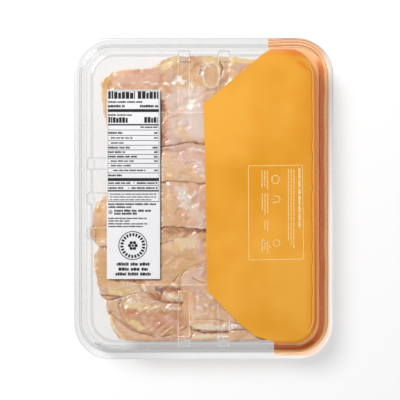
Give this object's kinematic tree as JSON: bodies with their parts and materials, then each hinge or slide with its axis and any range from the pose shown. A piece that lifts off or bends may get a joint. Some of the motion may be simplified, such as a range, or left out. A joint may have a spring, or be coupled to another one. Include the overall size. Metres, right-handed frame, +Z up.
{
  "type": "tray pack of thin sliced chicken breast",
  "caption": "Sealed clear tray of thin sliced raw chicken breast, lying film side down, with a white label and an orange label on the base that faces up.",
  "frame": {"origin": "middle of the underside of the lidding film, on the surface that the pack lies on", "axes": "+Z up through the film, the meat and the tray's base; +Y along the tray's long side; +X towards the side with the orange label"},
  "size_m": [0.215, 0.267, 0.0305],
  "materials": {
    "clear_plastic": "clear, high gloss",
    "clear_film": "clear, glossy, thin",
    "orange_print": "printed orange film",
    "white_label": "smooth white label with plain dark bars",
    "orange_label": "smooth orange label, satin",
    "chicken": "moist raw flesh, pale pink to tan, with yellowish fat"
  },
  "bodies": {
    "root": {"tray": "clear_plastic", "film": "clear_film", "printed_band": "orange_print", "white_label": "white_label", "orange_label": "orange_label", "slice_01": "chicken", "slice_02": "chicken", "slice_03": "chicken", "slice_04": "chicken", "slice_05": "chicken", "slice_06": "chicken", "slice_07": "chicken", "slice_08": "chicken", "slice_09": "chicken"}
  },
  "joints": []
}
